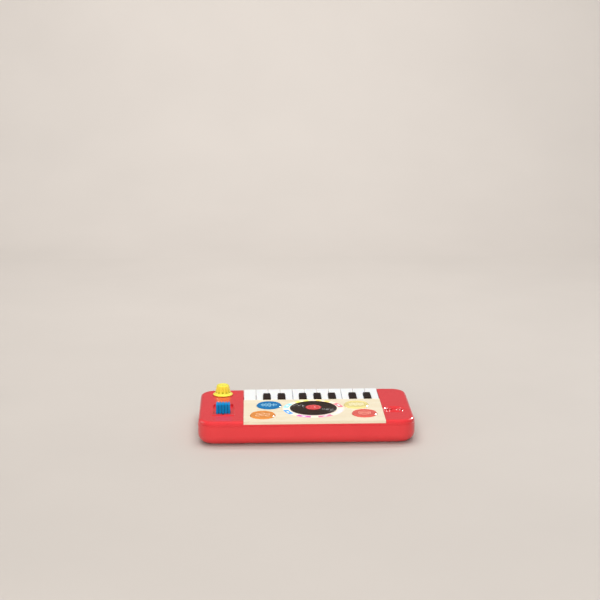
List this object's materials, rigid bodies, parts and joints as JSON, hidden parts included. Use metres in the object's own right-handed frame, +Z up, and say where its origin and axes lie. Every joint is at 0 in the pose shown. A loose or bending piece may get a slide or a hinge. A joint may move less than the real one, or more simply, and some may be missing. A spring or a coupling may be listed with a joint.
{
  "type": "toy electronic keyboard",
  "caption": "Child's table-top electronic keyboard with sprung piano keys, a spinning record, lit ring, round pads, a knob and a slider.",
  "frame": {"origin": "centre of the case's outline on the plane that the rubber feet stand on", "axes": "+X along the keys to the player's right, +Y away from the player, +Z up"},
  "size_m": [0.351, 0.188, 0.0577],
  "materials": {
    "base_red": "satin moulded",
    "cover_red": "satin moulded",
    "door_red": "satin moulded",
    "birch_ply": "lacquered birch plywood",
    "bed_grey": "moulded",
    "steel": "plain",
    "felt": "pressed felt",
    "silicone": "soft silicone",
    "circuit_board": "solder mask",
    "record_black": "grooved gloss",
    "label_red": "gloss",
    "bush_white": "acetal",
    "wheel_black": "moulded",
    "part_black": "moulded",
    "part_metal": "plated",
    "light_guide": "frosted translucent",
    "led_white": "clear lens",
    "button_blue": "gloss",
    "button_orange": "gloss",
    "button_yellow": "gloss",
    "button_coral": "gloss",
    "knob_yellow": "gloss",
    "slider_blue": "gloss",
    "cone_paper": "paper",
    "magnet_dark": "plain",
    "key_white": "gloss",
    "key_black": "gloss",
    "battery_can": "wrapped",
    "contact_nickel": "nickel plated",
    "foot_rubber": "soft"
  },
  "bodies": {
    "case": {"base_shell": "base_red", "batteries": "battery_can", "battery_contacts": "contact_nickel", "battery_door": "door_red", "battery_door_screw": "steel", "board_components": "part_black", "board_screws": "steel", "button_return_pads": "silicone", "case_screws": "steel", "key_bed": "bed_grey", "key_contact_board": "circuit_board", "key_dome_strip": "silicone", "key_felt_strips": "felt", "key_pivot_rod": "steel", "led_ring_board": "circuit_board", "leds": "led_white", "light_guide_ring": "light_guide", "main_board": "circuit_board", "photo_interrupter": "part_black", "rubber_feet": "foot_rubber", "slide_potentiometer": "part_metal", "speaker_cone": "cone_paper", "speaker_frame": "part_metal", "speaker_magnet": "magnet_dark", "spindle_bush": "bush_white", "top_cover": "cover_red", "volume_potentiometer": "part_metal", "wood_panel": "birch_ply"},
    "white_key_c1": {"white_key_c1": "key_white"},
    "white_key_d1": {"white_key_d1": "key_white"},
    "white_key_e1": {"white_key_e1": "key_white"},
    "white_key_f1": {"white_key_f1": "key_white"},
    "white_key_g1": {"white_key_g1": "key_white"},
    "white_key_a1": {"white_key_a1": "key_white"},
    "white_key_b1": {"white_key_b1": "key_white"},
    "white_key_c2": {"white_key_c2": "key_white"},
    "white_key_d2": {"white_key_d2": "key_white"},
    "white_key_e2": {"white_key_e2": "key_white"},
    "white_key_f2": {"white_key_f2": "key_white"},
    "black_key_cs1": {"black_key_cs1": "key_black"},
    "black_key_ds1": {"black_key_ds1": "key_black"},
    "black_key_fs1": {"black_key_fs1": "key_black"},
    "black_key_gs1": {"black_key_gs1": "key_black"},
    "black_key_as1": {"black_key_as1": "key_black"},
    "black_key_cs2": {"black_key_cs2": "key_black"},
    "black_key_ds2": {"black_key_ds2": "key_black"},
    "turntable": {"turntable_disc": "record_black", "turntable_label": "label_red", "turntable_spindle": "steel", "encoder_wheel": "wheel_black", "spindle_clip": "steel"},
    "button_blue": {"button_blue": "button_blue"},
    "button_orange": {"button_orange": "button_orange"},
    "button_yellow": {"button_yellow": "button_yellow"},
    "button_coral": {"button_coral": "button_coral"},
    "knob": {"volume_knob": "knob_yellow", "knob_shaft": "steel"},
    "slider": {"slider_cap": "slider_blue", "slider_carrier": "part_black"}
  },
  "joints": [
    {"name": "white_key_c1_hinge", "type": "hinge", "parent": "case", "child": "white_key_c1", "pos_m": [0, -0.014, 0.0275], "axis": [1, 0, 0], "range_deg": [0, 2.2], "stiffness_Nm_per_rad": 0.4, "springref_deg": -2.86, "deforming": ["key_dome_strip"]},
    {"name": "white_key_d1_hinge", "type": "hinge", "parent": "case", "child": "white_key_d1", "pos_m": [0, -0.014, 0.0275], "axis": [1, 0, 0], "range_deg": [0, 2.2], "stiffness_Nm_per_rad": 0.4, "springref_deg": -2.86, "deforming": ["key_dome_strip"]},
    {"name": "white_key_e1_hinge", "type": "hinge", "parent": "case", "child": "white_key_e1", "pos_m": [0, -0.014, 0.0275], "axis": [1, 0, 0], "range_deg": [0, 2.2], "stiffness_Nm_per_rad": 0.4, "springref_deg": -2.86, "deforming": ["key_dome_strip"]},
    {"name": "white_key_f1_hinge", "type": "hinge", "parent": "case", "child": "white_key_f1", "pos_m": [0, -0.014, 0.0275], "axis": [1, 0, 0], "range_deg": [0, 2.2], "stiffness_Nm_per_rad": 0.4, "springref_deg": -2.86, "deforming": ["key_dome_strip"]},
    {"name": "white_key_g1_hinge", "type": "hinge", "parent": "case", "child": "white_key_g1", "pos_m": [0, -0.014, 0.0275], "axis": [1, 0, 0], "range_deg": [0, 2.2], "stiffness_Nm_per_rad": 0.4, "springref_deg": -2.86, "deforming": ["key_dome_strip"]},
    {"name": "white_key_a1_hinge", "type": "hinge", "parent": "case", "child": "white_key_a1", "pos_m": [0, -0.014, 0.0275], "axis": [1, 0, 0], "range_deg": [0, 2.2], "stiffness_Nm_per_rad": 0.4, "springref_deg": -2.86, "deforming": ["key_dome_strip"]},
    {"name": "white_key_b1_hinge", "type": "hinge", "parent": "case", "child": "white_key_b1", "pos_m": [0, -0.014, 0.0275], "axis": [1, 0, 0], "range_deg": [0, 2.2], "stiffness_Nm_per_rad": 0.4, "springref_deg": -2.86, "deforming": ["key_dome_strip"]},
    {"name": "white_key_c2_hinge", "type": "hinge", "parent": "case", "child": "white_key_c2", "pos_m": [0, -0.014, 0.0275], "axis": [1, 0, 0], "range_deg": [0, 2.2], "stiffness_Nm_per_rad": 0.4, "springref_deg": -2.86, "deforming": ["key_dome_strip"]},
    {"name": "white_key_d2_hinge", "type": "hinge", "parent": "case", "child": "white_key_d2", "pos_m": [0, -0.014, 0.0275], "axis": [1, 0, 0], "range_deg": [0, 2.2], "stiffness_Nm_per_rad": 0.4, "springref_deg": -2.86, "deforming": ["key_dome_strip"]},
    {"name": "white_key_e2_hinge", "type": "hinge", "parent": "case", "child": "white_key_e2", "pos_m": [0, -0.014, 0.0275], "axis": [1, 0, 0], "range_deg": [0, 2.2], "stiffness_Nm_per_rad": 0.4, "springref_deg": -2.86, "deforming": ["key_dome_strip"]},
    {"name": "white_key_f2_hinge", "type": "hinge", "parent": "case", "child": "white_key_f2", "pos_m": [0, -0.014, 0.0275], "axis": [1, 0, 0], "range_deg": [0, 2.2], "stiffness_Nm_per_rad": 0.4, "springref_deg": -2.86, "deforming": ["key_dome_strip"]},
    {"name": "black_key_cs1_hinge", "type": "hinge", "parent": "case", "child": "black_key_cs1", "pos_m": [0, -0.014, 0.0275], "axis": [1, 0, 0], "range_deg": [0, 2.2], "stiffness_Nm_per_rad": 0.4, "springref_deg": -2.86, "deforming": ["key_dome_strip"]},
    {"name": "black_key_ds1_hinge", "type": "hinge", "parent": "case", "child": "black_key_ds1", "pos_m": [0, -0.014, 0.0275], "axis": [1, 0, 0], "range_deg": [0, 2.2], "stiffness_Nm_per_rad": 0.4, "springref_deg": -2.86, "deforming": ["key_dome_strip"]},
    {"name": "black_key_fs1_hinge", "type": "hinge", "parent": "case", "child": "black_key_fs1", "pos_m": [0, -0.014, 0.0275], "axis": [1, 0, 0], "range_deg": [0, 2.2], "stiffness_Nm_per_rad": 0.4, "springref_deg": -2.86, "deforming": ["key_dome_strip"]},
    {"name": "black_key_gs1_hinge", "type": "hinge", "parent": "case", "child": "black_key_gs1", "pos_m": [0, -0.014, 0.0275], "axis": [1, 0, 0], "range_deg": [0, 2.2], "stiffness_Nm_per_rad": 0.4, "springref_deg": -2.86, "deforming": ["key_dome_strip"]},
    {"name": "black_key_as1_hinge", "type": "hinge", "parent": "case", "child": "black_key_as1", "pos_m": [0, -0.014, 0.0275], "axis": [1, 0, 0], "range_deg": [0, 2.2], "stiffness_Nm_per_rad": 0.4, "springref_deg": -2.86, "deforming": ["key_dome_strip"]},
    {"name": "black_key_cs2_hinge", "type": "hinge", "parent": "case", "child": "black_key_cs2", "pos_m": [0, -0.014, 0.0275], "axis": [1, 0, 0], "range_deg": [0, 2.2], "stiffness_Nm_per_rad": 0.4, "springref_deg": -2.86, "deforming": ["key_dome_strip"]},
    {"name": "black_key_ds2_hinge", "type": "hinge", "parent": "case", "child": "black_key_ds2", "pos_m": [0, -0.014, 0.0275], "axis": [1, 0, 0], "range_deg": [0, 2.2], "stiffness_Nm_per_rad": 0.4, "springref_deg": -2.86, "deforming": ["key_dome_strip"]},
    {"name": "button_blue_press", "type": "slide", "parent": "case", "child": "button_blue", "axis": [0, 0, -1], "range_m": [0, 0.0015], "stiffness_N_per_m": 800, "springref_m": -0.0015, "deforming": ["button_return_pads"]},
    {"name": "button_orange_press", "type": "slide", "parent": "case", "child": "button_orange", "axis": [0, 0, -1], "range_m": [0, 0.0015], "stiffness_N_per_m": 800, "springref_m": -0.0015, "deforming": ["button_return_pads"]},
    {"name": "button_yellow_press", "type": "slide", "parent": "case", "child": "button_yellow", "axis": [0, 0, -1], "range_m": [0, 0.0015], "stiffness_N_per_m": 800, "springref_m": -0.0015, "deforming": ["button_return_pads"]},
    {"name": "button_coral_press", "type": "slide", "parent": "case", "child": "button_coral", "axis": [0, 0, -1], "range_m": [0, 0.0015], "stiffness_N_per_m": 800, "springref_m": -0.0015, "deforming": ["button_return_pads"]},
    {"name": "turntable_spin", "type": "hinge", "parent": "case", "child": "turntable", "pos_m": [-0.013, 0.0235, 0.041], "axis": [0, 0, 1], "continuous": true},
    {"name": "knob_turn", "type": "hinge", "parent": "case", "child": "knob", "pos_m": [0.1374, -0.067, 0.041], "axis": [0, 0, 1], "range_deg": [-135, 135]},
    {"name": "slider_travel", "type": "slide", "parent": "case", "child": "slider", "axis": [0, 1, 0], "range_m": [-0.026, 0.01]}
  ]
}
